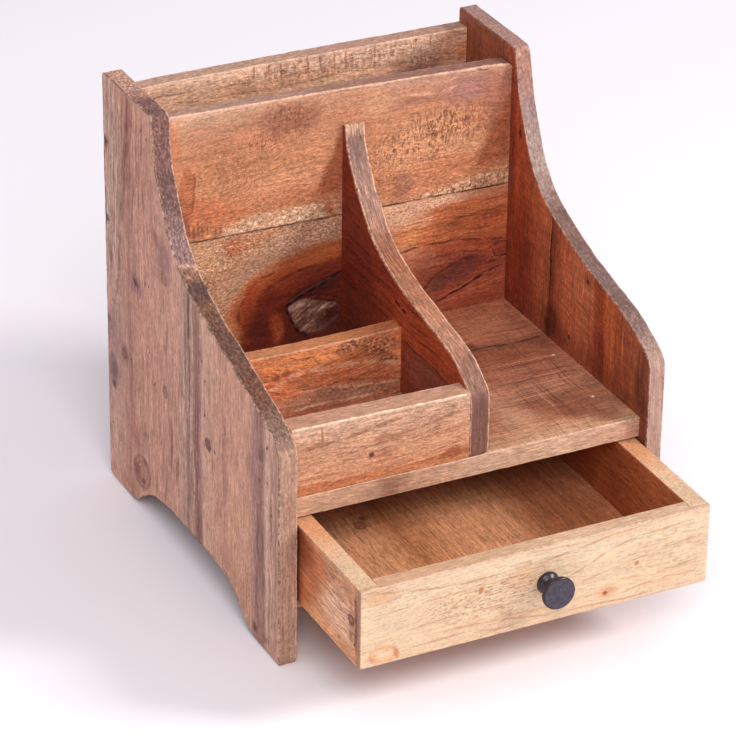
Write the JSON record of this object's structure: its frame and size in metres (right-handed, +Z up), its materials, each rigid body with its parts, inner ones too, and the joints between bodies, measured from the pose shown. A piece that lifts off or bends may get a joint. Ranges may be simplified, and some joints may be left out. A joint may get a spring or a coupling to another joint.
{
  "type": "desk organizer",
  "caption": "Wooden desk organizer with ogee-cut sides, a letter slot at the back, open compartments round a curved divider, and a knobbed drawer under the shelf.",
  "frame": {"origin": "on the desk top, under the middle of the whole piece's width and depth at rest, with the open drawer and its knob counted", "axes": "+X to the right as seen from the front, +Y towards the back panel, +Z up; the drawer opens towards -Y"},
  "size_m": [0.25, 0.3396, 0.276],
  "materials": {
    "side_wood": "worn reclaimed hardwood, matt wax, pinkish brown",
    "side_wood_red": "worn reclaimed hardwood, matt wax, dark red-brown",
    "back_wood": "worn reclaimed hardwood, matt wax, yellowish tan",
    "middle_wood_upper": "worn reclaimed hardwood, matt wax, orange tan",
    "middle_wood_lower": "worn reclaimed hardwood, matt wax, orange-red heart with pale edge",
    "shelf_wood": "worn reclaimed hardwood, matt, saw-marked mid brown",
    "divider_wood": "worn reclaimed hardwood, matt wax, red-brown with greyed cut edge",
    "rail_wood": "worn reclaimed hardwood, matt wax, peach tan",
    "cross_wood": "worn reclaimed hardwood, matt wax, orange brown",
    "runner_wood": "rough-sawn wood",
    "drawer_front_wood": "planed hardwood, satin wax, honey",
    "drawer_wood": "planed hardwood, matt wax, orange brown",
    "drawer_bottom_wood": "thin board, matt, brown",
    "knob_iron": "dark antiqued, satin",
    "screw_steel": "dull zinc",
    "nail_steel": "dull, slightly oxidised",
    "wood_filler": "dark matt filler"
  },
  "bodies": {
    "case": {"left_side_front_board": "side_wood", "left_side_rear_board": "side_wood", "right_side_front_board": "side_wood_red", "right_side_rear_board": "side_wood_red", "back_panel_upper_board": "back_wood", "back_panel_lower_board": "back_wood", "middle_panel_upper_board": "middle_wood_upper", "middle_panel_lower_board": "middle_wood_lower", "shelf_front_board": "shelf_wood", "shelf_rear_board": "shelf_wood", "curved_divider": "divider_wood", "front_rail": "rail_wood", "cross_divider": "cross_wood", "drawer_runner_left": "runner_wood", "drawer_runner_right": "runner_wood", "left_shelf_screws": "screw_steel", "right_shelf_screws": "screw_steel", "left_screw_plugs": "wood_filler", "right_screw_plugs": "wood_filler", "left_panel_nails": "nail_steel", "right_panel_nails": "nail_steel", "divider_nails": "nail_steel", "runner_nails": "nail_steel"},
    "drawer": {"drawer_front": "drawer_front_wood", "drawer_side_left": "drawer_wood", "drawer_side_right": "drawer_wood", "drawer_back": "drawer_wood", "drawer_bottom": "drawer_bottom_wood", "drawer_knob": "knob_iron", "knob_screw": "screw_steel", "knob_washer": "screw_steel", "drawer_nails": "nail_steel"}
  },
  "joints": [
    {"name": "drawer_slide", "type": "slide", "parent": "case", "child": "drawer", "axis": [0, -1, 0], "range_m": [-0.085, 0.09]}
  ]
}
